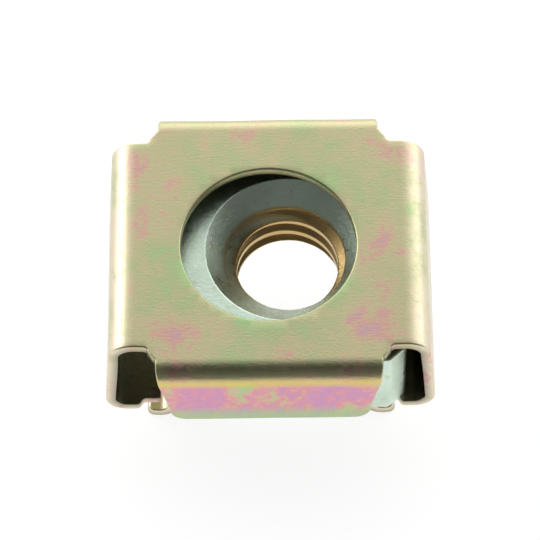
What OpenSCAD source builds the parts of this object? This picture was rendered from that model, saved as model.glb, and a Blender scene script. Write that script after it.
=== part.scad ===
// Rack cage nut, M6, for a 9.5 mm square hole.
// A square nut floats in a cage that is folded from one strip of spring steel.
// The origin is at the middle of the round hole in the cage's plate, on its upper face.
// The screw comes up from below, through the panel's square hole.

/* [Sheet] */
// Thickness of the spring steel
sheet_t = 0.5; // [0.35:0.05:0.6]

/* [Plate] */
// Diameter of the round clearance hole in the plate
hole_d = 8.7; // [7.5:0.1:9.5]
// Place of the plate's middle along Y, off that hole
plate_shift_y = 0.1; // [-0.4:0.02:0.4]
// Half of the flat width between the bends of the two wings
plate_flat_x = 6.65; // [6.3:0.05:6.9]
// Half of the flat length between the bends of the two flaps
plate_flat_y = 6.62; // [6.5:0.02:6.9]
// Radius of the relief in each of the four notches
notch_r = 0.25; // [0.15:0.05:0.6]

/* [Wings] */
// Length of each wing at the plate, along Y
wing_l = 11.8; // [10.8:0.1:12.2]
// Length of each wing at its flange
wing_foot_l = 11.1; // [10.6:0.1:12.2]
// Inner radius of the bend from the plate to a wing
wing_bend_r = 0.75; // [0.5:0.05:1]
// Angle by which each wing leans outwards
wing_splay = 4.2; // [0:0.2:6]
// Straight height of a wing's wall
wall_h = 4.65; // [4.2:0.05:5.2]
// Inner radius of the bend from a wing to its flange
flange_bend_r = 0.6; // [0.4:0.05:0.8]
// Straight width of a flange, up to the bend of the ear
flange_w = 1.62; // [1.2:0.02:2]
// Length that each end of a flange steps back before the ear
shoulder_l = 0.35; // [0.2:0.05:0.5]
// Width of that rounded step, across the flange
shoulder_w = 0.5; // [0.4:0.05:0.6]
// Flat of the flange left between the wing's bend and that step
shoulder_flat = 0.4; // [0.2:0.05:0.5]

/* [Ears] */
// Length of each ear, along Y, which goes into the square hole
ear_l = 9.4; // [7.5:0.1:9.4]
// Inner radius of the bend from the flange down to the ear
neck_bend_r = 0.3; // [0.2:0.05:0.5]
// Straight height of an ear, which is the panel's room
neck_h = 1; // [0.8:0.05:2.2]
// Inner radius of the curl at the foot of an ear
curl_r = 0.45; // [0.3:0.05:0.7]
// Angle by which the foot of an ear curls outwards
curl_angle = 102; // [60:2:110]
// Straight length at the tip of the curl
curl_tip = 0.45; // [0.1:0.05:0.6]
// Corner radius at the ends of an ear's foot
ear_corner_r = 0.3; // [0.2:0.1:1.2]

/* [Flaps] */
// Half width of a flap at the notches
flap_half_w = 5.92; // [5.7:0.02:6]
// Half width of a flap at its bend
flap_bend_half_w = 5.6; // [5.4:0.02:5.7]
// Half width of a flap at its foot
flap_foot_half_w = 4.8; // [4.4:0.02:5.3]
// Inner radius of the bend from the plate to a flap
flap_bend_r = 0.5; // [0.3:0.05:0.9]
// Angle of that bend
flap_bend_angle = 89; // [80:1:92]
// Straight height of a flap
flap_h = 3.2; // [2.5:0.05:4.4]
// Corner radius at a flap's foot
flap_corner_r = 0.8; // [0.3:0.1:1]

/* [Nut] */
// Width of the square nut across its flats
nut_w = 12.3; // [11.4:0.1:12.8]
// Thickness of the nut
nut_h = 5; // [4.4:0.1:5.6]
// Minor diameter of the M6 thread
thread_minor_d = 5.1; // [4.92:0.02:5.14]
// Diameter of the countersink at both mouths of the thread
countersink_d = 8.2; // [6.5:0.1:9]
// Angle of the countersink
countersink_angle = 90; // [80:5:120]
// Cut across each upright corner of the nut, along its sides
nut_cut = 0.8; // [0.4:0.05:1.2]
// Radius of the upright edges at those cuts
nut_edge_r = 0.4; // [0.2:0.1:0.6]
// Radius of the rounding under the nut's four corners
nut_under_r = 0.4; // [0.3:0.05:0.8]
// Radius along the nut's lower edges, which lie beside the flange bends
nut_foot_r = 0.3; // [0.2:0.05:0.5]

/* [Place of the nut in the cage] */
// Turn of the loose nut
nut_turn = -3.5; // [-4:0.5:4]
// Gap left between the nut and the wing on its right
nut_gap_x = 0.04; // [0.04:0.01:0.6]
// Gap left between the nut and the flap behind it
nut_gap_y = 0.2; // [0.1:0.05:0.7]
// Gap left between the nut and the flanges it lies on
nut_gap_z = 0.01; // [0.01:0.01:0.1]

/* [Hidden] */
$fn = 96;
over = 1;

// Stretch of the flange that an ear's own strip shares with it
ear_root = flange_w / 2;

// A fold is a list of steps: ["run", length] or ["bend", angle, inner radius].
// A positive angle turns to the left of the way the strip runs.
wing_fold = [
    ["run", plate_flat_x],
    ["bend", -(90 - wing_splay), wing_bend_r],
    ["run", wall_h],
    ["bend", -(90 + wing_splay), flange_bend_r],
    ["run", flange_w]
];
ear_fold = [
    ["run", ear_root],
    ["bend", 90, neck_bend_r],
    ["run", neck_h],
    ["bend", curl_angle, curl_r],
    ["run", curl_tip]
];
flap_fold = [
    ["run", plate_flat_y],
    ["bend", -flap_bend_angle, flap_bend_r],
    ["run", flap_h]
];

// The middle line of a folded strip: [x, y, heading] after n steps
function turned(a, v) = [cos(a) * v[0] - sin(a) * v[1], sin(a) * v[0] + cos(a) * v[1]];
function bend_reach(angle, r) = let (m = r + sheet_t / 2)
    [m * sin(abs(angle)), sign(angle) * m * (1 - cos(angle))];
function step_reach(s) = s[0] == "run" ? [s[1], 0] : bend_reach(s[1], s[2]);
function step_turn(s) = s[0] == "run" ? 0 : s[1];
function walk(fold, n, at = [0, -sheet_t / 2, 0], i = 0) = i == n ? at :
    let (d = turned(at[2], step_reach(fold[i])))
    walk(fold, n, [at[0] + d[0], at[1] + d[1], at[2] + step_turn(fold[i])], i + 1);

flange_end = walk(wing_fold, len(wing_fold));
flange_top = flange_end[1] + sheet_t / 2;
ear_start = flange_end - concat(turned(flange_end[2], [ear_root, 0]), 0);
// Middle line of an ear where its curl starts, and the level of the curl's foot
curl_start = walk(ear_fold, 3, ear_start);
ear_foot = curl_start[1] - (curl_r + sheet_t) * (curl_angle > 90 ? 1 : sin(curl_angle));
flap_end = walk(flap_fold, len(flap_fold));
notch_end = wing_l / 2 + notch_r;

// The rounded step of a flange's end is an S of two equal arcs
shoulder_turn = 2 * atan(shoulder_l / shoulder_w);
shoulder_r = shoulder_w / 2 / sin(shoulder_turn);

// The nut lies on the flat of the flanges, as far right and back as its gaps let it
function wing_inside_x(z) = let (c = sheet_t + wing_bend_r)
    z > -c ? plate_flat_x + sqrt(wing_bend_r ^ 2 - (z + c) ^ 2) :
    wall_start[0] - sheet_t / 2 / cos(wing_splay) + (wall_start[1] - z) * tan(wing_splay);
wall_start = walk(wing_fold, 2);
nut_foot = flange_top + nut_gap_z;
nut_top = nut_foot + nut_h;
nut_side_at = nut_w / 2 - nut_edge_r;
nut_side_end = nut_w / 2 - nut_cut - nut_edge_r * (sqrt(2) - 1);
nut_reach = nut_side_at * cos(nut_turn) + nut_side_end * abs(sin(nut_turn)) + nut_edge_r;
flange_flat_x = walk(wing_fold, 4)[0];
nut_x = min(wing_inside_x(nut_top) - nut_gap_x, flange_flat_x + nut_foot_r) - nut_reach;
nut_y = plate_shift_y + plate_flat_y + flap_bend_r - nut_gap_y - nut_reach;

thread_r = thread_minor_d / 2;
countersink_r = countersink_d / 2;
countersink_h = (countersink_r - thread_r) / tan(countersink_angle / 2);
nut_corner = sqrt(nut_side_at ^ 2 + nut_side_end ^ 2) + nut_edge_r;

// One ring sector of a bend, which starts at the origin and runs along +X
module bend_sector(angle, r) {
    outer = r + sheet_t;
    side = sign(angle);
    far = 2 * outer;
    translate([0, side * (r + sheet_t / 2)])
        intersection() {
            difference() {
                circle(r = outer);
                circle(r = r);
            }
            polygon([
                [0, 0],
                for (k = [0:3]) far * [sin(k * abs(angle) / 3), -side * cos(k * angle / 3)]
            ]);
        }
}

// The steps of a fold, drawn one after the other
module strip(fold, i = 0) {
    if (i < len(fold)) {
        s = fold[i];
        if (s[0] == "run")
            translate([0, -sheet_t / 2]) square([s[1], sheet_t]);
        else
            bend_sector(s[1], s[2]);
        translate(step_reach(s)) rotate(step_turn(s)) strip(fold, i + 1);
    }
}

module strip_from(at, fold) {
    translate([at[0], at[1]]) rotate(at[2]) strip(fold);
}

// A section drawn in XZ and run along Y, centred
module along_y(length) {
    rotate([90, 0, 0]) linear_extrude(length, center = true) children();
}

// A section drawn in YZ and run along X, centred
module along_x(length) {
    rotate([90, 0, 90]) linear_extrude(length, center = true) children();
}

module each_side() {
    children();
    mirror([1, 0, 0]) children();
}

module each_end() {
    children();
    mirror([0, 1, 0]) children();
}

// A tongue that hangs from y = 0 down to -h, with round corners at its foot
module tongue(top_half_w, foot_half_w, h, r) {
    lean = atan((top_half_w - foot_half_w) / h);
    round_x = foot_half_w - r * (1 - sin(lean)) / cos(lean);
    side_x = round_x + r * cos(lean);
    side_y = r * (1 - sin(lean)) - h;
    polygon([
        [-top_half_w, over], [-top_half_w, 0], [-side_x, side_y], [-round_x, -h],
        [round_x, -h], [side_x, side_y], [top_half_w, 0], [top_half_w, over]
    ]);
    for (s = [-1, 1])
        translate([s * round_x, r - h]) circle(r = r);
}

// What a rounded step takes off one end of a flange, seen from above
module shoulder_cut() {
    step_x = flange_flat_x - shoulder_flat;
    step_y = wing_foot_l / 2;
    difference() {
        union() {
            polygon([
                [0, step_y - shoulder_l], [step_x - shoulder_w, step_y - shoulder_l],
                [step_x, step_y], [step_x, step_y + over], [0, step_y + over]
            ]);
            translate([step_x - shoulder_w, step_y - shoulder_l + shoulder_r])
                circle(r = shoulder_r);
        }
        translate([step_x, step_y - shoulder_r]) circle(r = shoulder_r);
    }
}

// The channel of a wing: half plate, wall and flange, a little shorter at its foot
module wing() {
    difference() {
        intersection() {
            along_y(wing_l) strip_from([0, -sheet_t / 2, 0], wing_fold);
            along_x(4 * plate_flat_x)
                polygon([
                    [-wing_l / 2, 0], [-wing_foot_l / 2, flange_top - sheet_t],
                    [-wing_foot_l / 2, flange_top - sheet_t - over],
                    [wing_foot_l / 2, flange_top - sheet_t - over],
                    [wing_foot_l / 2, flange_top - sheet_t], [wing_l / 2, 0]
                ]);
        }
        each_end()
            translate([0, 0, flange_top - sheet_t - over])
                linear_extrude(sheet_t + 2 * over) shoulder_cut();
    }
}

// The clip that goes into the panel's square hole
module ear() {
    intersection() {
        along_y(ear_l) strip_from(ear_start, ear_fold);
        along_x(4 * plate_flat_x) tongue(ear_l / 2, ear_l / 2, -ear_foot, ear_corner_r);
    }
}

// The flap that closes one end of the cage, narrower towards its foot
module flap() {
    intersection() {
        along_x(2 * flap_half_w) strip_from([0, -sheet_t / 2, 0], flap_fold);
        along_y(4 * plate_flat_y)
            tongue(flap_bend_half_w, flap_foot_half_w, -flap_end[1], flap_corner_r);
    }
    translate([0, 0, -sheet_t])
        linear_extrude(sheet_t)
            polygon([
                [-flap_half_w, 0], [-flap_half_w, notch_end], [-flap_bend_half_w, plate_flat_y],
                [flap_bend_half_w, plate_flat_y], [flap_half_w, notch_end], [flap_half_w, 0]
            ]);
}

// The four reliefs where a flap's edge meets a wing's end
module notch_reliefs() {
    root = sheet_t;
    each_side() each_end()
        translate([flap_half_w, wing_l / 2, -sheet_t])
            linear_extrude(sheet_t)
                difference() {
                    translate([-root, -root]) square(notch_r + root);
                    translate([notch_r, notch_r]) circle(r = notch_r);
                }
}

module cage() {
    color("#b9b68a")
        difference() {
            translate([0, plate_shift_y, 0]) {
                each_side() wing();
                each_side() ear();
                each_end() flap();
                notch_reliefs();
            }
            translate([0, 0, -sheet_t - over]) cylinder(d = hole_d, h = sheet_t + 2 * over);
        }
}

// The outline that rounds the nut under its corners
module nut_turning() {
    rotate_extrude() {
        square([nut_corner - nut_under_r, nut_h]);
        translate([0, nut_under_r]) square([nut_corner + over, nut_h]);
        translate([nut_corner - nut_under_r, nut_under_r])
            circle(r = nut_under_r);
    }
}

// The nut's side view, with its lower edges rounded
module nut_side() {
    foot_w = nut_w - 2 * nut_foot_r;
    translate([-nut_w / 2, nut_foot_r]) square([nut_w, nut_h - nut_foot_r]);
    translate([-foot_w / 2, 0]) square([foot_w, nut_h]);
    for (s = [-1, 1])
        translate([s * foot_w / 2, nut_foot_r]) circle(r = nut_foot_r);
}

// The nut's plan view, with its corners cut and the edges of those cuts rounded
module nut_plan() {
    slant = nut_edge_r / sqrt(2);
    near = nut_side_end + slant;
    far = nut_side_at + slant;
    polygon([
        for (k = [0:3]) each [
            turned(90 * k, [nut_w / 2, -nut_side_end]), turned(90 * k, [nut_w / 2, nut_side_end]),
            turned(90 * k, [far, near]), turned(90 * k, [near, far])
        ]
    ]);
    for (k = [0:3]) rotate(90 * k) {
        translate([nut_side_at, nut_side_end]) circle(r = nut_edge_r);
        translate([nut_side_end, nut_side_at]) circle(r = nut_edge_r);
    }
}

module nut_blank() {
    intersection() {
        linear_extrude(nut_h) nut_plan();
        along_x(nut_w + over) nut_side();
        along_y(nut_w + over) nut_side();
    }
}

module nut_bore() {
    translate([0, 0, -over]) cylinder(r = thread_r, h = nut_h + 2 * over);
    cylinder(r1 = countersink_r, r2 = thread_r, h = countersink_h);
    translate([0, 0, nut_h - countersink_h])
        cylinder(r1 = thread_r, r2 = countersink_r, h = countersink_h);
}

module nut() {
    color("#b9d6c0")
        translate([nut_x, nut_y, nut_foot])
            rotate(nut_turn)
                difference() {
                    intersection() {
                        nut_blank();
                        nut_turning();
                    }
                    nut_bore();
                }
}

cage();
nut();
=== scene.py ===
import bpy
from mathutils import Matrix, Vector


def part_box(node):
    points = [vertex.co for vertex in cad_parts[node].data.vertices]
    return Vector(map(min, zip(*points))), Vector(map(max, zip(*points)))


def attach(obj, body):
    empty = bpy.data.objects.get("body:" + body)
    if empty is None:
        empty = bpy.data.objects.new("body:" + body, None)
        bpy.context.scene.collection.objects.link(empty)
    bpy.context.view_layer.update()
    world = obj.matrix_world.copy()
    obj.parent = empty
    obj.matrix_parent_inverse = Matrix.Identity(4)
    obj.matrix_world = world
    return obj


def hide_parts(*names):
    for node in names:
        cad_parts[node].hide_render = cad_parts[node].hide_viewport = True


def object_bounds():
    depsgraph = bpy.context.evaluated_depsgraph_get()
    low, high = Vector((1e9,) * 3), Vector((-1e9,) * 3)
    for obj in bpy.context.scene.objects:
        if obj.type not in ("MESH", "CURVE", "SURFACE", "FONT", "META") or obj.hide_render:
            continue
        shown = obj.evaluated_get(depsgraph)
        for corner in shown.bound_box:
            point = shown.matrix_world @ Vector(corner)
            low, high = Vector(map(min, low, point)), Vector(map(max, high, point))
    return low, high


bl_info = {
    "name": "Rack cage nut",
    "version": (1, 0, 0),
    "blender": (4, 5, 0),
    "location": "3D View > Sidebar > Cage nut",
    "description": "Folds the spring steel cage, cuts its loose square nut "
                   "and sets a plain studio",
    "category": "Object",
}

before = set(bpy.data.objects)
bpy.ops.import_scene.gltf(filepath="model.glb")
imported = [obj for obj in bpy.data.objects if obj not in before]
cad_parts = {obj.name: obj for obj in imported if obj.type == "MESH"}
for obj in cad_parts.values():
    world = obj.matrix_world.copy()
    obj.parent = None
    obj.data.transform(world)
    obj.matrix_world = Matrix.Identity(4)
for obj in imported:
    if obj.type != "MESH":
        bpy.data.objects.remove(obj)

import math
from collections import namedtuple
from functools import partial

import bmesh
import bpy
import numpy as np
from mathutils import Matrix, Vector

CAD_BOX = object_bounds()
CAGE_LOW, CAGE_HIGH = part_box("cage")
NUT_LOW, NUT_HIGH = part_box("nut")
MM = 0.001
HAIR = 1e-9          # metres: two places along a strip that are nearer than this are one
WELD = 1e-7          # metres: two points that are nearer than this are one


def length(name, mm, text):
    """A size in metres, shown in the panel; its default is given in millimetres."""
    return bpy.props.FloatProperty(name=name, description=text, default=mm * MM, min=0.0,
                                   precision=5, subtype="DISTANCE", unit="LENGTH")


def angle(name, degrees, text):
    """An angle in radians, shown in the panel; its default is given in degrees."""
    return bpy.props.FloatProperty(name=name, description=text, default=math.radians(degrees),
                                   precision=3, subtype="ANGLE", unit="ROTATION")


def share(name, value, text):
    """A part of one, shown as a slider."""
    return bpy.props.FloatProperty(name=name, description=text, default=value, min=0.0, max=1.0,
                                   subtype="FACTOR", unit="NONE")


def strength(name, value, text, **kind):
    """How strong a light is."""
    return bpy.props.FloatProperty(name=name, description=text, default=value, min=0.0, **kind)


def number(name, value, least, text):
    """A number of rows or columns of a mesh."""
    return bpy.props.IntProperty(name=name, description=text, default=value, min=least,
                                 subtype="UNSIGNED")


def colour(name, rgb, text):
    """A colour, as linear red, green and blue."""
    return bpy.props.FloatVectorProperty(name=name, description=text, default=rgb, size=3,
                                         min=0.0, max=1.0, subtype="COLOR")


class CageSizes(bpy.types.PropertyGroup):
    """Sizes of the folded spring steel cage"""
    sheet: length("Sheet", 0.5, "Thickness of the spring steel")
    hole: length("Hole", 8.7, "Diameter of the round hole in the plate")
    flat_x: length("Flat to a wing", 6.65, "Half of the flat width between the wings' bends")
    flat_y: length("Flat to a flap", 6.62, "Half of the flat length between the flaps' bends")
    notch: length("Notch relief", 0.25, "Radius of the relief between a flap and a wing")
    wing: length("Wing", 11.8, "Length of a wing at the plate")
    wing_foot: length("Wing foot", 11.1, "Length of a wing at its flange")
    wing_bend: length("Wing bend", 0.75, "Inner radius of the bend from the plate to a wing")
    splay: angle("Splay", 4.2, "Angle by which each wing leans outwards")
    wall: length("Wall", 4.65, "Straight height of a wing")
    flange_bend: length("Flange bend", 0.6, "Inner radius of the bend from a wing to its flange")
    flange: length("Flange", 1.62, "Straight width of a flange")
    shoulder: length("Shoulder", 0.35, "Length that each end of a flange steps back")
    shoulder_width: length("Shoulder width", 0.5, "Width of that step across the flange")
    shoulder_flat: length("Shoulder flat", 0.4, "Flat left between the wing's bend and the step")
    ear: length("Ear", 9.4, "Length of an ear")
    neck_bend: length("Neck bend", 0.3, "Inner radius of the bend from a flange to its ear")
    neck: length("Neck", 1.0, "Straight height of an ear")
    curl: length("Curl", 0.45, "Inner radius of the curl at an ear's foot")
    curl_turn: angle("Curl turn", 102, "Angle by which an ear's foot curls outwards")
    curl_tip: length("Curl tip", 0.45, "Straight length at the curl's tip")
    ear_corner: length("Ear corner", 0.3, "Corner radius at an ear's foot")
    flap: length("Flap", 11.84, "Width of a flap at the notches")
    flap_at_bend: length("Flap at its bend", 11.2, "Width of a flap at its bend")
    flap_foot: length("Flap foot", 9.6, "Width of a flap at its foot")
    flap_bend: length("Flap bend", 0.5, "Inner radius of the bend from the plate to a flap")
    flap_turn: angle("Flap turn", 89, "Angle of that bend")
    flap_drop: length("Flap drop", 3.2, "Straight height of a flap")
    flap_corner: length("Flap corner", 0.8, "Corner radius at a flap's foot")
    rolled_edge: length("Rolled edge", 0.1, "Rounding of the cut edges on the outer face")
    sheared_edge: length("Sheared edge", 0.05, "Rounding of the cut edges on the inner face")
    cell: length("Mesh cell", 0.5, "Grid of the mesh on the flats")
    wave: length("Wave", 0.012, "Height of the slight unevenness of the flats")


class NutSizes(bpy.types.PropertyGroup):
    """Sizes of the loose square nut"""
    width: length("Width", 12.3, "Width across the flats")
    turn: angle("Turn", -3.5, "Turn of the loose nut in its cage")
    cut: length("Corner cut", 0.8, "Cut across each upright corner, along the sides")
    edge: length("Upright edge", 0.4, "Radius of the upright edges at those cuts")
    top_edge: length("Top edge", 0.12, "Rounding of the upper edges")
    foot_edge: length("Foot edge", 0.3, "Rounding of the lower edges")
    under: length("Under corner", 0.4, "Radius of the rounding under the corners")
    countersink: length("Countersink", 8.2, "Diameter of the countersink at both mouths")
    countersink_turn: angle("Countersink angle", 90, "Angle of the countersink")
    minor: length("Minor diameter", 5.1, "Minor diameter of the thread")
    major: length("Major diameter", 6.04, "Major diameter of the thread")
    pitch: length("Pitch", 1.0, "Pitch of the thread")
    film: length("Golden film", 0.3, "Reach of the thread's film over the countersinks")
    around: number("Columns", 256, 32, "Columns of the mesh round the bore")
    rows: number("Rows per turn", 32, 8, "Rows of the mesh per thread turn")


class Finishes(bpy.types.PropertyGroup):
    """Colours of the two platings, and of the painted highlight and shade laid on them"""
    khaki: colour("Khaki", (0.52, 0.51, 0.29), "Main colour of the yellow chromate")
    sage: colour("Sage", (0.42, 0.52, 0.27), "Greenish khaki")
    sand: colour("Sand", (0.60, 0.51, 0.32), "Warm khaki")
    green: colour("Green", (0.33, 0.62, 0.26), "Green of the thin film")
    rose: colour("Rose", (0.76, 0.32, 0.36), "Pink of the thin film")
    violet: colour("Violet", (0.60, 0.30, 0.52), "Violet of the thin film")
    gold: colour("Gold", (0.74, 0.60, 0.12), "Yellow film at the flaps' bends")
    # This cream is a painted highlight, laid over the wings' bends and through the walls' film
    # where they catch the light.
    highlight_cream: colour("Cream", (0.80, 0.72, 0.55), "Thin chromate on the rubbed bends")
    zinc: colour("Zinc", (0.66, 0.80, 0.67), "Clear zinc of the nut")
    brass: colour("Brass", (0.60, 0.42, 0.18), "Golden film in the nut's thread")
    # Painted shade: near black laid over the sheet's inner face, where the cage's inside lies in
    # shade.
    inner_shade: colour("Dull", (0.05, 0.05, 0.03), "Dull film inside the cage")
    # Painted shade: near black mixed into the cut edges to darken them.
    shade: colour("Shade", (0.06, 0.07, 0.05), "Dark film on the cut edges")
    grain: share("Grain", 0.35, "Strength of the fine grain")


class StudioSizes(bpy.types.PropertyGroup):
    """Camera, floor and lights"""
    azimuth: angle("Azimuth", 0.93, "Where the camera stands round the part")
    elevation: angle("Elevation", 58.95, "How high the camera stands")
    roll: angle("Roll", -1.5, "Turn of the camera about its own axis")
    distance: length("Distance", 172.4, "From the camera to the plate's hole")
    aside: length("Aside", 0.0794, "How far right of the hole the camera looks")
    below: length("Below", 1.3136, "How far below the hole the camera looks")
    lens: bpy.props.FloatProperty(name="Lens", description="Focal length of the camera",
                                  default=232.6, min=1.0, subtype="DISTANCE_CAMERA", unit="CAMERA")
    floor: length("Floor", 3000.0, "Width of the floor")
    sky: strength("Sky", 1.9, "Strength of the light all round")
    softbox: strength("Softbox", 0.1, "Power of the softbox at the left",
                      subtype="POWER", unit="POWER")
    softbox_width: length("Softbox width", 150.0, "Width of the square softbox")
    softbox_place: bpy.props.FloatVectorProperty(
        name="Softbox place", description="Where the softbox stands", size=3,
        default=(-0.25, 0.15, 0.12), subtype="TRANSLATION", unit="LENGTH")
    glow: strength("Floor glow", 0.85, "Light of the lit floor")


# ---------------------------------------------------------------- folding a strip

Stretch = namedtuple("Stretch", "start end x z heading bend")
WALL, FLANGE, NECK_BEND = 2, 4, 5        # stretches of a wing's fold, counted from the plate
DROP = 2                                 # and of a flap's
BEND_SLICE = 7.5                         # degrees of a bend to each row of faces
CORNER_STEPS, SHOULDER_STEPS = 8, 6      # faces round a corner and round half a shoulder
HOLE_POINTS = 144
WAVE_LENGTH, WAVE_SEED = 7.0, 3          # millimetres between the flats' waves, and their seed


class Fold:
    """The middle line of a folded strip seen from the side, from the plate's middle outwards"""

    def __init__(self, steps, sheet):
        self.parts, self.cuts = [], [0.0]
        u, x, z, heading = 0.0, 0.0, -sheet / 2, 0.0
        for kind, amount, radius in steps:
            turn = 0.0 if kind == "run" else amount
            span = amount if kind == "run" else (radius + sheet / 2) * abs(amount)
            bend = turn / span
            self.parts.append(Stretch(u, u + span, x, z, heading, bend))
            if kind == "run":
                x, z = x + span * math.cos(heading), z + span * math.sin(heading)
                self.cuts.append(u + span)
            else:
                centre = Vector((x - math.sin(heading) / bend, z + math.cos(heading) / bend))
                heading += turn
                x = centre.x + math.sin(heading) / bend
                z = centre.y - math.cos(heading) / bend
                slices = max(2, math.ceil(abs(turn) / math.radians(BEND_SLICE)))
                self.cuts += [u + span * (k + 1) / slices for k in range(slices)]
            u += span
        self.end = u

    def at(self, u, w):
        """Places of points u along the middle line and w outside it, as (x, z) rows."""
        out = np.zeros((len(u), 2))
        for u0, u1, x, z, heading, bend in self.parts:
            here = (u >= u0) if u1 >= self.end - HAIR else (u >= u0) & (u < u1)
            d, off = u[here] - u0, w[here]
            turned = heading + bend * d
            if bend == 0.0:
                px, pz = x + d * np.cos(heading), z + d * np.sin(heading)
            else:
                px = x - np.sin(heading) / bend + np.sin(turned) / bend
                pz = z + np.cos(heading) / bend - np.cos(turned) / bend
            out[here, 0] = px - off * np.sin(turned)
            out[here, 1] = pz + off * np.cos(turned)
        return out

    def z(self, u):
        """Height of the middle line at u."""
        return float(self.at(np.array([u]), np.array([0.0]))[0, 1])


def wing_fold(s):
    """Plate, wing, flange and ear, down to the curl's tip."""
    return Fold([
        ("run", s.flat_x, 0), ("bend", s.splay - math.pi / 2, s.wing_bend),
        ("run", s.wall, 0), ("bend", -s.splay - math.pi / 2, s.flange_bend),
        ("run", s.flange, 0), ("bend", math.pi / 2, s.neck_bend),
        ("run", s.neck, 0), ("bend", s.curl_turn, s.curl), ("run", s.curl_tip, 0),
    ], s.sheet)


def flap_fold(s):
    """Plate and flap."""
    return Fold([("run", s.flat_y, 0), ("bend", -s.flap_turn, s.flap_bend),
                 ("run", s.flap_drop, 0)], s.sheet)


def arc(cx, cy, r, start, stop, n):
    """Points of a circle's arc, angles in degrees."""
    turns = np.radians(np.linspace(start, stop, n + 1))
    return [(cx + r * math.cos(a), cy + r * math.sin(a)) for a in turns]


def strip_quarter(s, wing, flap):
    """A quarter of the flat strip's outline, from a flap's foot round to an ear's tip."""
    def tapered(fold, u, wide, narrow, low):
        """Width at u of a side that tapers from wide at the plate to narrow at depth low."""
        return wide + (narrow - wide) * (-fold.z(u)) / low

    low_flap, low_wing = -flap.z(flap.end), -wing.z(wing.parts[FLANGE].start)
    foot, bend_w, r = s.flap_foot / 2, s.flap_at_bend / 2, s.flap_corner
    lean = math.atan((bend_w - foot) / low_flap)
    cx = foot - r * (1 - math.sin(lean)) / math.cos(lean)
    points = arc(cx, flap.end - r, r, 90, math.degrees(-lean), CORNER_STEPS)
    for u in reversed(flap.cuts[1:-1]):
        if u < flap.end - r:
            points.append((tapered(flap, u, bend_w, foot, low_flap), u))
    corner = s.flap / 2 + s.notch, s.wing / 2 + s.notch
    points += arc(*corner, s.notch, 180, 270, CORNER_STEPS)
    edge = wing.parts[NECK_BEND].start
    points += [(u, tapered(wing, u, s.wing, s.wing_foot, low_wing) / 2)
               for u in wing.cuts[1:] if u < edge - HAIR]
    step, side = wing.parts[FLANGE].start + s.shoulder_flat, s.wing_foot / 2
    turn = 2 * math.atan(s.shoulder / s.shoulder_width)
    r = s.shoulder_width / 2 / math.sin(turn)
    bend = math.degrees(turn)
    points += arc(step, side - r, r, 90, 90 - bend, SHOULDER_STEPS)
    side -= s.shoulder
    points += arc(step + s.shoulder_width, side + r, r, 270 - bend, 270, SHOULDER_STEPS)
    points += [(edge, side), (edge, s.ear / 2)]
    r = s.ear_corner
    points += [(u, s.ear / 2) for u in wing.cuts if edge < u < wing.end - r]
    points += arc(wing.end - r, s.ear / 2 - r, r, 90, 0, CORNER_STEPS)
    return points


def strip_outline(s, wing, flap):
    """The whole outline of the flat strip, counter-clockwise."""
    quarter = strip_quarter(s, wing, flap)
    right = quarter + [(x, -y) for x, y in reversed(quarter)]
    loop = right + [(-x, y) for x, y in reversed(right)]
    kept = [p for i, p in enumerate(loop) if (Vector(p) - Vector(loop[i - 1])).length > WELD]
    return np.array(kept[::-1])


def outward(loop):
    """Mitred normals of a counter-clockwise loop, one for each point."""
    ahead = np.roll(loop, -1, axis=0) - loop
    ahead /= np.linalg.norm(ahead, axis=1)[:, None]
    normal = np.stack([ahead[:, 1], -ahead[:, 0]], axis=1)
    behind = np.roll(normal, 1, axis=0)
    sharpest = 0.3
    return (normal + behind) / np.maximum(sharpest, 1 + (normal * behind).sum(axis=1))[:, None]


def rim_profile(s):
    """(inset, height) pairs round a cut edge, from the outer face to the inner one."""
    steps = 4
    half, top, low = s.sheet / 2, s.rolled_edge, s.sheared_edge
    turns = [math.pi / 2 * k / steps for k in range(steps + 1)]
    upper = [(top * (1 - math.sin(a)), half - top + top * math.cos(a)) for a in turns]
    lower = [(low * (1 - math.cos(a)), -half + low - low * math.sin(a)) for a in turns]
    return upper + lower


def cut_lines(s, wing, flap):
    """Lines across the flat strip, as (place, axis): a grid on its flats and every bend's rows."""
    cell = s.cell
    grid = np.arange(-math.floor(s.flat_x / cell), math.floor(s.flat_x / cell) + 1) * cell
    lines = [(u, 0) for u in grid] + [(u, 1) for u in grid]
    for fold, axis in ((wing, 0), (flap, 1)):
        lines += [(side * u, axis) for u in fold.cuts[1:-1] for side in (1, -1)]
    for stretch, axis in ((wing.parts[WALL], 0), (flap.parts[DROP], 1)):
        inner = np.arange(stretch.start + cell, stretch.end - cell / 2, cell)
        lines += [(side * u, axis) for u in inner for side in (1, -1)]
    return lines


def cut_along(bm, lines):
    """Cuts the faces along the lines, and clears every other edge inside a flat face."""
    for place, axis in lines:
        plane, normal = [0.0, 0.0, 0.0], [0.0, 0.0, 0.0]
        plane[axis], normal[axis] = place, 1.0
        cut = bmesh.ops.bisect_plane(bm, geom=bm.verts[:] + bm.edges[:] + bm.faces[:],
                                     dist=WELD, plane_co=plane, plane_no=normal)
        for item in cut["geom_cut"]:
            if isinstance(item, bmesh.types.BMEdge):
                item.seam = True
    bmesh.ops.dissolve_limit(bm, angle_limit=math.radians(0.5), use_dissolve_boundaries=False,
                             verts=bm.verts[:], edges=bm.edges[:], delimit={"SEAM", "MATERIAL"})
    for edge in bm.edges:
        edge.seam = False


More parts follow.
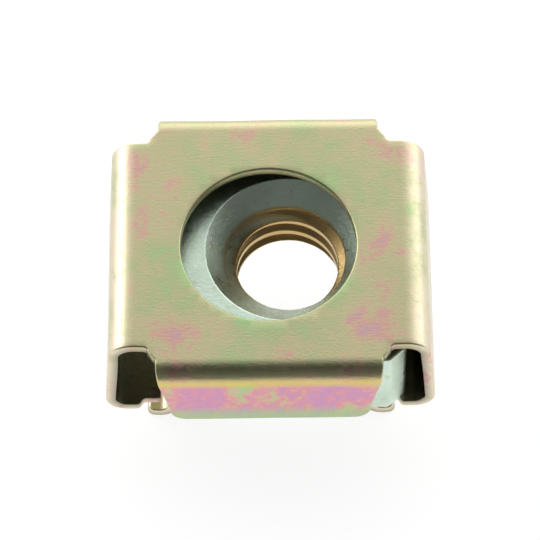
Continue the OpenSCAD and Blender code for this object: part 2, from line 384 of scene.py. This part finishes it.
def flat_strip(s, wing, flap):
    """The flat strip with its hole and rolled edges, in a bmesh, cut along every bend."""
    bm = bmesh.new()
    turns = np.linspace(0, 2 * math.pi, HOLE_POINTS, endpoint=False)
    centre_y = -(CAGE_LOW.y + CAGE_HIGH.y) / 2
    ring = np.stack([np.cos(turns), np.sin(turns)], axis=1) * s.hole / 2 + (0, centre_y)
    loops = [(strip_outline(s, wing, flap), 1.0), (ring, -1.0)]
    profile = rim_profile(s)
    caps = [[], []]
    for loop, side in loops:
        normal = outward(loop) * side
        rows = [[bm.verts.new((*(p - n * inset), w)) for p, n in zip(loop, normal)]
                for inset, w in profile]
        for upper, lower in zip(rows, rows[1:]):
            for k in range(len(loop)):
                quad = [upper[k - 1], lower[k - 1], lower[k], upper[k]]
                bm.faces.new(quad if side > 0 else quad[::-1]).material_index = 1
        for cap, row in zip(caps, (rows[0], rows[-1])):
            cap += [bm.edges.get((row[k - 1], row[k])) for k in range(len(row))]
    for cap, up in zip(caps, (1, -1)):
        bmesh.ops.triangle_fill(bm, use_beauty=True, edges=cap, normal=(0, 0, up))
    cut_along(bm, cut_lines(s, wing, flap))
    return bm


def smooth_noise(x, y, scale, seed):
    """A smooth sum of waves, between about -1 and 1, the same on every run."""
    rng = np.random.default_rng(seed)
    total = np.zeros_like(x)
    for _ in range(7):
        turn, phase, size = rng.uniform(0, 2 * math.pi, 2).tolist() + [rng.uniform(0.6, 1.6)]
        total += np.sin((x * math.cos(turn) + y * math.sin(turn)) * size * 2 * math.pi / scale
                        + phase)
    return total / 4


def fold_cage(s):
    """The finished cage as a mesh, with its flat pattern kept as a UV map."""
    wing, flap = wing_fold(s), flap_fold(s)
    bm = flat_strip(s, wing, flap)
    bm.verts.ensure_lookup_table()
    flat = np.array([v.co for v in bm.verts])
    x, y, w = flat.T
    w = w + s.wave * smooth_noise(x / MM, y / MM, WAVE_LENGTH, WAVE_SEED)
    side = np.where(x < 0, -1.0, 1.0)
    end = np.where(y < 0, -1.0, 1.0)
    on_flap = np.abs(y) > s.flat_y
    wing_place = wing.at(np.abs(x), w)
    flap_place = flap.at(np.abs(y), w)
    place = np.stack([side * wing_place[:, 0], y, wing_place[:, 1]], axis=1)
    flaps = np.stack([x, end * flap_place[:, 0], flap_place[:, 1]], axis=1)
    place[on_flap] = flaps[on_flap]
    place[:, 1] += (CAGE_LOW.y + CAGE_HIGH.y) / 2
    place[:, 2] += CAGE_HIGH.z
    pattern = bm.loops.layers.uv.new("strip")
    for face in bm.faces:
        for loop in face.loops:
            co = flat[loop.vert.index]
            loop[pattern].uv = (co[0] / MM, co[1] / MM)
    # Marks the sheet's inner face, which the finish darkens as painted shade.
    inside = bm.verts.layers.float.new("inside")
    for vert in bm.verts:
        vert[inside] = float(flat[vert.index][2] < 0)
        vert.co = place[vert.index]
    bmesh.ops.recalc_face_normals(bm, faces=bm.faces[:])
    mesh = bpy.data.meshes.new("folded_cage")
    bm.to_mesh(mesh)
    bm.free()
    mesh.shade_smooth()
    return mesh


# ---------------------------------------------------------------- cutting the nut

ROOT_FLAT = 1 / 16               # half of the flat at the thread's root, in pitches
LEAST_RADIUS = 1e-6              # metres: an edge is never rounded by less
JOIN = 1e-6                      # metres: the shell and the bore meet within this
FIRST_CORNER = math.radians(-45)           # where the columns of the nut's mesh start
TOP_ROWS = (0.02, 0.3, 0.6, 0.97, 1.0)     # rows from the mouth to the rim, as shares
SIDE_ROWS = (1.1, 0.85, 0.6, 0.4, 0.2, 0.05)     # rows over the height of an under corner
FOOT_ROWS = (0.03, 0.08, 0.14, 0.2, 0.28, 0.4, 0.6, 0.8, 0.98, 1.0)


def thread_tree():
    """Geometry nodes that cut the threaded bore with its two countersinks."""
    tree = bpy.data.node_groups.new("threaded_bore", "GeometryNodeTree")
    face = tree.interface
    for name in ("Pitch", "Minor radius", "Major radius", "Mouth radius", "Slope", "Height",
                 "Film reach"):
        face.new_socket(name, in_out="INPUT", socket_type="NodeSocketFloat")
    for name in ("Columns", "Rows per turn", "Turns"):
        face.new_socket(name, in_out="INPUT", socket_type="NodeSocketInt")
    face.new_socket("Finish", in_out="INPUT", socket_type="NodeSocketMaterial")
    face.new_socket("Geometry", in_out="OUTPUT", socket_type="NodeSocketGeometry")
    nodes, links = tree.nodes, tree.links
    given = nodes.new("NodeGroupInput")
    out = nodes.new("NodeGroupOutput")

    def math_node(operation, *values):
        node = nodes.new("ShaderNodeMath")
        node.operation = operation
        for value, socket in zip(values, node.inputs):
            if isinstance(value, (int, float)):
                socket.default_value = value
            else:
                links.new(value, socket)
        return node.outputs[0]

    def named(name):
        return given.outputs[name]

    add, sub = partial(math_node, "ADD"), partial(math_node, "SUBTRACT")
    mul, div = partial(math_node, "MULTIPLY"), partial(math_node, "DIVIDE")
    low, high = partial(math_node, "MINIMUM"), partial(math_node, "MAXIMUM")

    spans = add(named("Turns"), 1)
    grid = nodes.new("GeometryNodeMeshGrid")
    links.new(add(named("Columns"), 1), grid.inputs["Vertices X"])
    links.new(add(mul(spans, named("Rows per turn")), 1), grid.inputs["Vertices Y"])
    split = nodes.new("ShaderNodeSeparateXYZ")
    links.new(grid.outputs["UV Map"], split.inputs[0])
    along, up = split.outputs[0], split.outputs[1]
    turn = mul(along, 2 * math.pi)
    steps = sub(mul(up, spans), 1)
    raw_z = mul(named("Pitch"), add(steps, along))
    z = low(high(raw_z, 0.0), named("Height"))
    phase = math_node("FRACT", add(steps, 1))
    off = math_node("ABSOLUTE", sub(phase, 0.5))
    flank = mul(sub(mul(off, named("Pitch")), mul(named("Pitch"), ROOT_FLAT)), math.sqrt(3))
    thread = low(high(sub(named("Major radius"), high(flank, 0.0)), named("Minor radius")),
                 named("Major radius"))
    depth = div(sub(named("Mouth radius"), named("Minor radius")), named("Slope"))
    upper = mul(sub(z, sub(named("Height"), depth)), named("Slope"))
    lower = mul(sub(depth, z), named("Slope"))
    cone = add(named("Minor radius"), high(high(upper, lower), 0.0))
    radius = high(thread, cone)
    place = nodes.new("ShaderNodeCombineXYZ")
    links.new(mul(radius, math_node("COSINE", turn)), place.inputs[0])
    links.new(mul(radius, math_node("SINE", turn)), place.inputs[1])
    links.new(z, place.inputs[2])
    move = nodes.new("GeometryNodeSetPosition")
    links.new(grid.outputs["Mesh"], move.inputs["Geometry"])
    links.new(place.outputs[0], move.inputs["Position"])
    keep = nodes.new("GeometryNodeStoreNamedAttribute")
    keep.data_type, keep.domain = "FLOAT", "POINT"
    keep.inputs["Name"].default_value = "thread"
    links.new(move.outputs[0], keep.inputs["Geometry"])
    ring = named("Film reach")
    gold = low(high(div(add(sub(thread, cone), ring), ring), 0.0), 1.0)
    links.new(gold, keep.inputs["Value"])
    merge = nodes.new("GeometryNodeMergeByDistance")
    merge.inputs["Distance"].default_value = 2 * WELD
    links.new(keep.outputs[0], merge.inputs["Geometry"])
    real = nodes.new("GeometryNodeRealizeInstances")
    links.new(merge.outputs[0], real.inputs[0])
    finish = nodes.new("GeometryNodeSetMaterial")
    links.new(real.outputs[0], finish.inputs["Geometry"])
    links.new(named("Finish"), finish.inputs["Material"])
    links.new(finish.outputs[0], out.inputs["Geometry"])
    return tree


def threaded_bore(s, height, material):
    """The bore's surface as a plain mesh, its foot at z = 0."""
    holder = bpy.data.objects.new("bore_holder", bpy.data.meshes.new("bore_holder"))
    bpy.context.scene.collection.objects.link(holder)
    modifier = holder.modifiers.new("thread", "NODES")
    tree = thread_tree()
    modifier.node_group = tree
    values = {
        "Pitch": s.pitch, "Minor radius": s.minor / 2, "Major radius": s.major / 2,
        "Mouth radius": s.countersink / 2, "Slope": math.tan(s.countersink_turn / 2),
        "Height": height, "Film reach": s.film, "Columns": s.around, "Rows per turn": s.rows,
        "Turns": math.ceil((height - JOIN) / s.pitch), "Finish": material,
    }
    for item in tree.interface.items_tree:
        if item.item_type == "SOCKET" and item.in_out == "INPUT":
            modifier[item.identifier] = values[item.name]
    bpy.context.view_layer.update()
    mesh = bpy.data.meshes.new_from_object(
        holder.evaluated_get(bpy.context.evaluated_depsgraph_get()))
    holder.modifiers.remove(modifier)
    bpy.data.objects.remove(holder)
    return mesh


def square_outline(s, inset):
    """Points of a square with cut corners, starting at -45 degrees, inset from its sides."""
    half, r = s.width / 2, max(s.edge - inset, LEAST_RADIUS)
    far, near = half - s.edge, half - s.cut - s.edge * (math.sqrt(2) - 1)
    middle = (far + near) / 2 + r / math.sqrt(2)
    bend = np.radians(np.linspace(-45, 0, 7))
    lower = np.stack([far + r * np.cos(bend), -near + r * np.sin(bend)], axis=1)
    cut = np.array([middle, -middle])
    facet = cut + (lower[0] - cut) * np.linspace(0, 1, 5)[:-1, None]
    start = np.concatenate([facet, lower])
    count = s.around // 4 - 2 * len(start) + 2
    flat = np.linspace(-near, near, count + 1)[1:-1]
    side = np.concatenate([start, np.stack([np.full(len(flat), far + r), flat], axis=1),
                           (start * (1, -1))[:0:-1]])
    quarters = [side @ np.array([[c, n], [-n, c]]) for c, n in ((1, 0), (0, 1), (-1, 0), (0, -1))]
    return np.concatenate(quarters)


def nut_shell(s, height):
    """The nut's outside, from the upper mouth round to the lower one, in a bmesh."""
    count = s.around
    turns = FIRST_CORNER + np.arange(count) * 2 * math.pi / count
    mouth = np.stack([np.cos(turns), np.sin(turns)], axis=1) * s.countersink / 2
    outline = partial(square_outline, s)
    rows = [(mouth, height)]
    rim = outline(s.top_edge)
    rows += [(mouth + (rim - mouth) * part, height) for part in TOP_ROWS]
    for a in np.linspace(0, math.pi / 2, 5)[1:]:
        rows.append((outline(s.top_edge * (1 - math.sin(a))),
                     height - s.top_edge * (1 - math.cos(a))))
    reach = s.under - s.foot_edge
    rows += [(outline(0), height - s.top_edge - 0.1 * MM)]
    rows += [(outline(0), s.foot_edge + reach * part) for part in SIDE_ROWS]
    for a in np.linspace(0, math.pi / 2, 6):
        rows.append((outline(s.foot_edge * (1 - math.cos(a))), s.foot_edge * (1 - math.sin(a))))
    foot = outline(s.foot_edge)
    rows += [(foot + (mouth - foot) * part, 0.0) for part in FOOT_ROWS]
    corner = np.linalg.norm(outline(0), axis=1).max() - s.under
    bm = bmesh.new()
    verts = []
    for points, z in rows:
        out = np.clip(np.linalg.norm(points, axis=1) - corner, 0, s.under)
        dome = s.under - np.sqrt(s.under ** 2 - out ** 2)
        level = np.maximum(z, dome) if z < height / 2 else np.full(count, z)
        verts.append([bm.verts.new((p[0], p[1], h)) for p, h in zip(points, level)])
    for upper, lower in zip(verts, verts[1:]):
        for k in range(count):
            bm.faces.new((upper[k - 1], lower[k - 1], lower[k], upper[k]))
    return bm


def cut_nut(s, material):
    """The whole nut as a mesh, in place in its cage."""
    height = NUT_HIGH.z - NUT_LOW.z
    bm = nut_shell(s, height)
    bore = threaded_bore(s, height, material)
    bore.transform(Matrix.Rotation(FIRST_CORNER, 4, "Z"))
    bm.from_mesh(bore)
    bmesh.ops.remove_doubles(bm, verts=bm.verts[:], dist=JOIN)
    bmesh.ops.dissolve_degenerate(bm, dist=WELD / 10, edges=bm.edges[:])
    bmesh.ops.recalc_face_normals(bm, faces=bm.faces[:])
    centre = (NUT_LOW + NUT_HIGH) / 2
    place = Matrix.Translation((centre.x, centre.y, NUT_LOW.z)) @ Matrix.Rotation(s.turn, 4, "Z")
    bmesh.ops.transform(bm, matrix=place, verts=bm.verts[:])
    mesh = bpy.data.meshes.new("square_nut")
    bm.to_mesh(mesh)
    bm.free()
    mesh.shade_smooth()
    return mesh


# ---------------------------------------------------------------- finishes

class Nodes:
    """A material's node tree with short words for the nodes it uses"""

    def __init__(self, name):
        self.material = bpy.data.materials.new(name)
        self.material.use_nodes = True
        self.nodes, self.links = self.material.node_tree.nodes, self.material.node_tree.links
        self.shader = self.nodes["Principled BSDF"]

    def node(self, kind, inputs=None, **settings):
        node = self.nodes.new(kind)
        for key, value in settings.items():
            setattr(node, key, value)
        for key, value in (inputs or {}).items():
            self.feed(value, node.inputs[key])
        return node

    def feed(self, value, socket):
        if isinstance(value, bpy.types.NodeSocket):
            self.links.new(value, socket)
        elif socket.type == "RGBA" and len(value) == 3:
            socket.default_value = (*value, 1.0)
        else:
            socket.default_value = value

    def noise(self, scale, detail=2.0, roughness=0.5, distortion=0.0, vector=None):
        """Noise on object coordinates; scale is in bumps per metre."""
        node = self.node("ShaderNodeTexNoise", {
            "Scale": scale, "Detail": detail, "Roughness": roughness, "Distortion": distortion})
        self.links.new(vector or self.place(), node.inputs["Vector"])
        return node.outputs["Fac"]

    def place(self):
        if not hasattr(self, "coords"):
            self.coords = self.nodes.new("ShaderNodeTexCoord")
        return self.coords.outputs["Object"]

    def ramp(self, value, stops, mode="EASE"):
        """A colour ramp; stops are (place, colour or grey)."""
        node = self.node("ShaderNodeValToRGB", {0: value})
        node.color_ramp.interpolation = mode
        points = node.color_ramp.elements
        while len(points) < len(stops):
            points.new(1.0)
        for point, (place, shade) in zip(points, stops):
            point.position = place
            point.color = (*shade, 1.0) if hasattr(shade, "__len__") else (shade,) * 3 + (1.0,)
        return node.outputs["Color"]

    def calc(self, operation, *values, clamp=False):
        node = self.node("ShaderNodeMath", operation=operation, use_clamp=clamp)
        for value, socket in zip(values, node.inputs):
            self.feed(value, socket)
        return node.outputs[0]

    def mix(self, factor, a, b):
        node = self.node("ShaderNodeMix", data_type="RGBA")
        self.feed(factor, node.inputs["Factor"])
        self.feed(a, node.inputs["A"])
        self.feed(b, node.inputs["B"])
        return node.outputs["Result"]

    def bump(self, height, distance, strength=1.0, normal=None):
        node = self.node("ShaderNodeBump", {"Height": height, "Distance": distance,
                                            "Strength": strength})
        if normal is not None:
            self.links.new(normal, node.inputs["Normal"])
        return node.outputs["Normal"]


def blob(t, value, middle, half):
    """1 at the middle of a band and 0 outside it, with soft sides."""
    off = t.calc("ABSOLUTE", t.calc("SUBTRACT", value, middle))
    return t.calc("SUBTRACT", 1.0, t.calc("DIVIDE", off, half), clamp=True)


def past(t, value, start, span):
    """0 up to start and 1 from start + span on."""
    return t.calc("DIVIDE", t.calc("SUBTRACT", value, start), span, clamp=True)


def film_noise(t):
    """Soft clouds, patches and specks of the film's thickness, about 0.3 to 0.7."""
    cloud = t.calc("MULTIPLY", t.noise(300, 2.0, 0.5, 0.4), 0.50)
    patch = t.calc("MULTIPLY", t.noise(950, 3.0, 0.6, 0.8), 0.32)
    speck = t.calc("MULTIPLY", t.noise(4200, 2.0, 0.6), 0.18)
    return t.calc("ADD", t.calc("ADD", cloud, patch), speck)


def scratches(t, turn, scale):
    """Fine lines along one direction."""
    mapping = t.node("ShaderNodeMapping")
    t.links.new(t.place(), mapping.inputs["Vector"])
    mapping.inputs["Rotation"].default_value = (0.0, 0.0, math.radians(turn))
    mapping.inputs["Scale"].default_value = (1.0, 16.0, 1.0)
    return t.noise(scale, 2.0, 0.6, vector=mapping.outputs["Vector"])


def laid(t, under, over, where, amount):
    """One colour laid over another, film or painted light alike, by the amount given where the
    mask is 1.
    """
    return t.mix(t.calc("MULTIPLY", where, amount), under, over)


def finished(t, base, relief):
    """The material of a metal with this colour and fine relief."""
    t.feed(base, t.shader.inputs["Base Color"])
    t.shader.inputs["Metallic"].default_value = 1.0
    t.feed(relief, t.shader.inputs["Normal"])
    return t.material


def uneven_gloss(t, least, most):
    rough = t.ramp(t.noise(2600, 4.0, 0.6), [(0.3, least), (0.7, most)], "LINEAR")
    t.feed(rough, t.shader.inputs["Roughness"])


# Soft bands on the flat strip, as (middle, half width), and soft steps, as (start, span), both
# in millimetres along the strip or across it.
HOLE_BAND = (4.6, 1.5)
FRONT_ALONG, FRONT_ACROSS = (-5.1, 1.5), (4.6, 3.2)
REAR_ALONG, REAR_ACROSS = (5.2, 2.0), (4.0, 3.5)
# Where the painted highlight lies over each wing's bend.
HIGHLIGHT_BAND = (7.5, 0.9)
WALL_STEP = (8.0, 0.8)
FLAP_STEP, FLAP_SIDE = (7.3, 0.6), (5.9, 0.3)
FLAP_MIDDLE, FLAP_FOOT = (1.5, 5.0), (9.7, 0.8)
BEND_LINE = (7.62, 0.35)


def plate_film(t, c, film, u, v):
    """The plate's colours: pinker towards its front and rear, greener round its hole."""
    across = t.calc("ABSOLUTE", u)
    radius = t.calc("SQRT", t.calc("ADD", t.calc("MULTIPLY", u, u), t.calc("MULTIPLY", v, v)))
    front = t.calc("MULTIPLY", blob(t, v, *FRONT_ALONG), blob(t, across, *FRONT_ACROSS))
    rear = t.calc("MULTIPLY", blob(t, v, *REAR_ALONG), blob(t, across, *REAR_ACROSS))
    near_hole = blob(t, radius, *HOLE_BAND)
    thick = film
    for where, more in ((front, 0.13), (rear, 0.05), (near_hole, -0.06)):
        thick = t.calc("ADD", thick, t.calc("MULTIPLY", where, more))
    flat = t.ramp(thick, [
        (0.34, c.green), (0.41, c.sage), (0.47, c.khaki), (0.54, c.sand),
        (0.60, c.rose), (0.68, c.violet)], "LINEAR")
    return t.mix(0.42, flat, c.khaki)


def flap_film(t, c, film, across, along):
    """The flaps' pink and violet, with a green foot."""
    thick = t.calc("ADD", film, t.calc("MULTIPLY", blob(t, across, *FLAP_MIDDLE), 0.10))
    flap = t.ramp(thick, [
        (0.42, c.green), (0.50, c.sand), (0.54, c.rose), (0.62, c.violet), (0.70, c.rose)],
        "LINEAR")
    return laid(t, flap, c.green, past(t, along, *FLAP_FOOT), 0.7)


def chromate(colours):
    """Yellow chromate on spring steel: khaki, with the pinks and greens of its thin film, a
    painted highlight on the wings' bends and painted shade on the sheet's inner face.
    """
    t, c = Nodes("yellow_chromate"), colours
    strip = t.node("ShaderNodeUVMap", uv_map="strip")
    split = t.node("ShaderNodeSeparateXYZ", {0: strip.outputs["UV"]})
    u, v = split.outputs[0], split.outputs[1]
    across, along = t.calc("ABSOLUTE", u), t.calc("ABSOLUTE", v)
    film = film_noise(t)
    base = plate_film(t, c, film, u, v)
    # Painted highlight: cream laid over each wing's bend, where the bend catches the light.
    highlit = t.calc("MULTIPLY", blob(t, across, *HIGHLIGHT_BAND), past(t, film, 0.36, 0.16))
    base = laid(t, base, c.highlight_cream, highlit, 0.85)
    # The wing walls' film runs through the same cream, so the walls are partly film colour and
    # partly a painted highlight.
    wall = t.ramp(film, [(0.38, c.sage), (0.46, c.highlight_cream), (0.54, c.highlight_cream), (0.62, c.rose)],
                  "LINEAR")
    base = laid(t, base, wall, past(t, across, *WALL_STEP), 0.75)
    between = t.calc("SUBTRACT", 1.0, past(t, across, *FLAP_SIDE))
    on_flap = t.calc("MULTIPLY", past(t, along, *FLAP_STEP), between)
    base = laid(t, base, flap_film(t, c, film, across, along), on_flap, 0.95)
    line = t.calc("MULTIPLY", blob(t, along, *BEND_LINE), between)
    base = laid(t, base, c.gold, line, 0.7)
    # Painted shade: the sheet's inner face is darkened towards near black.
    inside = t.node("ShaderNodeAttribute", attribute_name="inside")
    base = laid(t, base, c.inner_shade, inside.outputs["Fac"], 0.55)
    uneven_gloss(t, 0.27, 0.40)
    lines = t.bump(scratches(t, 35, 900), 0.00002, 0.25)
    return finished(t, base, t.bump(t.noise(9000, 3.0, 0.6), 0.00003, c.grain, lines))


def sheared_steel(colours):
    """The strip's cut edges, with a stronger green and violet film, darkened by painted shade."""
    t, c = Nodes("cut_edge"), colours
    film = t.ramp(film_noise(t), [(0.40, c.green), (0.46, c.sage), (0.51, c.khaki),
                                  (0.56, c.violet), (0.64, c.rose)], "LINEAR")
    # Painted shade: the edges' film is mixed with the dark shade colour.
    base = t.mix(0.45, t.mix(0.25, film, c.khaki), c.shade)
    t.shader.inputs["Roughness"].default_value = 0.36
    return finished(t, base, t.bump(t.noise(7000, 3.0, 0.6), 0.00004, 0.5))


def clear_zinc(colours):
    """Clear zinc on the turned and pressed nut, golden in the thread."""
    t, c = Nodes("clear_zinc"), colours
    cloud = t.noise(500, 3.0, 0.5)
    plain = t.ramp(cloud, [(0.35, c.zinc), (0.65, [v * 0.9 for v in c.zinc])])
    worn = t.ramp(t.noise(1600, 4.0, 0.7), [(0.56, 0.0), (0.66, 0.5)], "LINEAR")
    plain = t.mix(worn, plain, c.khaki)
    thread = t.node("ShaderNodeAttribute", attribute_name="thread")
    base = t.mix(thread.outputs["Fac"], plain, c.brass)
    uneven_gloss(t, 0.26, 0.38)
    lines = t.bump(scratches(t, -20, 1200), 0.00003, 0.3)
    return finished(t, base, t.bump(t.noise(6000, 3.0, 0.6), 0.00003, 0.35, lines))


# ---------------------------------------------------------------- operators

def add_piece(name, mesh, materials, node):
    """A finished piece that rides on the body and stands for its solid."""
    piece = bpy.data.objects.new(name, mesh)
    bpy.context.scene.collection.objects.link(piece)
    mesh.materials.clear()
    for material in materials:
        mesh.materials.append(material)
    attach(piece, "root")
    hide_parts(node)
    return piece


def weighted(mesh):
    """The mesh with normals led by its larger faces, so flats stay flat up to the edges."""
    holder = bpy.data.objects.new("weight_holder", mesh)
    bpy.context.scene.collection.objects.link(holder)
    modifier = holder.modifiers.new("weighted", "WEIGHTED_NORMAL")
    modifier.mode, modifier.weight = "FACE_AREA", 50
    bpy.context.view_layer.update()
    result = bpy.data.meshes.new_from_object(
        holder.evaluated_get(bpy.context.evaluated_depsgraph_get()))
    bpy.data.objects.remove(holder)
    result.name = mesh.name
    return result


class CAGENUT_OT_fold_cage(bpy.types.Operator):
    """Folds the flat strip of spring steel into the cage"""
    bl_idname = "cagenut.fold_cage"
    bl_label = "Fold the cage"

    def execute(self, context):
        colours = context.scene.cagenut_finishes
        mesh = fold_cage(context.scene.cagenut_cage)
        if not mesh.polygons:
            raise RuntimeError("the cage came out empty")
        face = chromate(colours)
        edge = sheared_steel(colours)
        add_piece("spring_steel_cage", weighted(mesh), [face, edge], "cage")
        return {"FINISHED"}


class CAGENUT_OT_cut_nut(bpy.types.Operator):
    """Cuts the square nut with its thread and countersinks"""
    bl_idname = "cagenut.cut_nut"
    bl_label = "Cut the nut"

    def execute(self, context):
        material = clear_zinc(context.scene.cagenut_finishes)
        mesh = cut_nut(context.scene.cagenut_nut, material)
        if not mesh.polygons:
            raise RuntimeError("the nut came out empty")
        add_piece("square_nut", weighted(mesh), [material], "nut")
        return {"FINISHED"}


class CAGENUT_OT_set_studio(bpy.types.Operator):
    """Sets the floor, the soft light and the camera"""
    bl_idname = "cagenut.set_studio"
    bl_label = "Set the studio"

    def execute(self, context):
        s = context.scene.cagenut_studio
        set_floor(s)
        set_light(s)
        set_camera(s)
        return {"FINISHED"}


def set_floor(s):
    """A pale matt floor under the ears' curls, lit from within."""
    half = s.floor / 2
    mesh = bpy.data.meshes.new("floor")
    z = CAD_BOX[0].z
    mesh.from_pydata([(-half, -half, z), (half, -half, z), (half, half, z), (-half, half, z)],
                     [], [(0, 1, 2, 3)])
    floor = bpy.data.objects.new("floor", mesh)
    bpy.context.scene.collection.objects.link(floor)
    t = Nodes("pale_floor")
    settings = {"Base Color": (0.35, 0.35, 0.35), "Emission Color": (1.0, 1.0, 1.0),
                "Emission Strength": s.glow, "Roughness": 0.9, "Specular IOR Level": 0.1}
    for name, value in settings.items():
        t.feed(value, t.shader.inputs[name])
    mesh.materials.append(t.material)


def set_light(s):
    """A sky that is bright behind the part and low at its sides, and dark above the camera."""
    world = bpy.data.worlds.new("studio_sky")
    bpy.context.scene.world = world
    world.use_nodes = True
    nodes, links = world.node_tree.nodes, world.node_tree.links
    coords, split = nodes.new("ShaderNodeTexCoord"), nodes.new("ShaderNodeSeparateXYZ")
    links.new(coords.outputs["Generated"], split.inputs[0])

    def band(value, stops):
        """Greys along a direction's value; stops are (value from -1 to 1, grey)."""
        ramp = nodes.new("ShaderNodeValToRGB")
        half = nodes.new("ShaderNodeMath")
        half.operation = "MULTIPLY_ADD"
        links.new(value, half.inputs[0])
        half.inputs[1].default_value = half.inputs[2].default_value = 0.5
        links.new(half.outputs[0], ramp.inputs[0])
        points = ramp.color_ramp.elements
        while len(points) < len(stops):
            points.new(1.0)
        for point, (place, grey) in zip(points, stops):
            point.position, point.color = place / 2 + 0.5, (grey, grey, grey, 1.0)
        return ramp.outputs["Color"]

    behind = band(split.outputs[1], [(-0.9, 0.10), (-0.2, 0.08), (0.1, 0.40), (0.42, 1.0)])
    low = band(split.outputs[2], [(0.3, 1.0), (0.62, 0.80), (0.82, 0.47), (1.0, 0.40)])
    both = nodes.new("ShaderNodeMix")
    both.data_type, both.blend_type = "RGBA", "MULTIPLY"
    both.inputs["Factor"].default_value = 1.0
    links.new(behind, both.inputs["A"])
    links.new(low, both.inputs["B"])
    sky = nodes["Background"]
    links.new(both.outputs["Result"], sky.inputs["Color"])
    sky.inputs["Strength"].default_value = s.sky
    backdrop = nodes.new("ShaderNodeBackground")
    backdrop.inputs["Color"].default_value = (1.0, 1.0, 1.0, 1.0)
    path, pick = nodes.new("ShaderNodeLightPath"), nodes.new("ShaderNodeMixShader")
    links.new(path.outputs["Is Camera Ray"], pick.inputs[0])
    links.new(sky.outputs[0], pick.inputs[1])
    links.new(backdrop.outputs[0], pick.inputs[2])
    links.new(pick.outputs[0], nodes["World Output"].inputs["Surface"])
    lamp = bpy.data.lights.new("softbox", "AREA")
    lamp.shape, lamp.size, lamp.energy = "SQUARE", s.softbox_width, s.softbox
    box = bpy.data.objects.new("softbox", lamp)
    bpy.context.scene.collection.objects.link(box)
    box.location = s.softbox_place
    box.rotation_mode = "QUATERNION"
    box.rotation_quaternion = box.location.to_track_quat("Z", "Y")


def set_camera(s):
    """The camera on its circle round the plate's hole, aimed past it and rolled."""
    back = Vector((math.sin(s.azimuth) * math.cos(s.elevation),
                   -math.cos(s.azimuth) * math.cos(s.elevation), math.sin(s.elevation)))
    right = Vector((math.cos(s.azimuth), math.sin(s.azimuth), 0))
    up = back.cross(right)
    turned_right = math.cos(s.roll) * right + math.sin(s.roll) * up
    turned_up = math.cos(s.roll) * up - math.sin(s.roll) * right
    data = bpy.data.cameras.new("camera")
    data.lens, data.sensor_width = s.lens, 36.0
    data.clip_start, data.clip_end = 0.01, 10.0
    camera = bpy.data.objects.new("camera", data)
    bpy.context.scene.collection.objects.link(camera)
    place = back * s.distance
    aim = (turned_right * s.aside - turned_up * s.below - place).normalized()
    side = aim.cross(turned_up).normalized()
    camera.matrix_world = Matrix.Translation(place) @ Matrix(
        (side, side.cross(aim), -aim)).transposed().to_4x4()
    bpy.context.scene.camera = camera
    bpy.context.scene.view_settings.view_transform = "Standard"


OPERATORS = (CAGENUT_OT_fold_cage, CAGENUT_OT_cut_nut, CAGENUT_OT_set_studio)
GROUPS = {"cagenut_cage": CageSizes, "cagenut_nut": NutSizes,
          "cagenut_finishes": Finishes, "cagenut_studio": StudioSizes}


class CAGENUT_PT_panel(bpy.types.Panel):
    """Sizes, colours and steps of the rack cage nut"""
    bl_idname = "CAGENUT_PT_panel"
    bl_label = "Rack cage nut"
    bl_space_type = "VIEW_3D"
    bl_region_type = "UI"
    bl_category = "Cage nut"

    def draw(self, context):
        for operator, group in zip(OPERATORS, ("cagenut_cage", "cagenut_nut", "cagenut_studio")):
            box = self.layout.box()
            box.operator(operator.bl_idname)
            settings = getattr(context.scene, group)
            for name in settings.__class__.__annotations__:
                box.prop(settings, name)
        box = self.layout.box()
        for name in Finishes.__annotations__:
            box.prop(context.scene.cagenut_finishes, name)


def register():
    """Adds the sizes, the steps and the panel."""
    for kind in (*GROUPS.values(), *OPERATORS, CAGENUT_PT_panel):
        bpy.utils.register_class(kind)
    for name, group in GROUPS.items():
        setattr(bpy.types.Scene, name, bpy.props.PointerProperty(type=group))


def unregister():
    """Takes them out again."""
    for name in GROUPS:
        delattr(bpy.types.Scene, name)
    for kind in reversed((*GROUPS.values(), *OPERATORS, CAGENUT_PT_panel)):
        bpy.utils.unregister_class(kind)


def main():
    """Makes the pieces and the stage."""
    register()
    for operator in OPERATORS:
        group, name = operator.bl_idname.split(".")
        getattr(getattr(bpy.ops, group), name)()


if __name__ == "__main__":
    main()
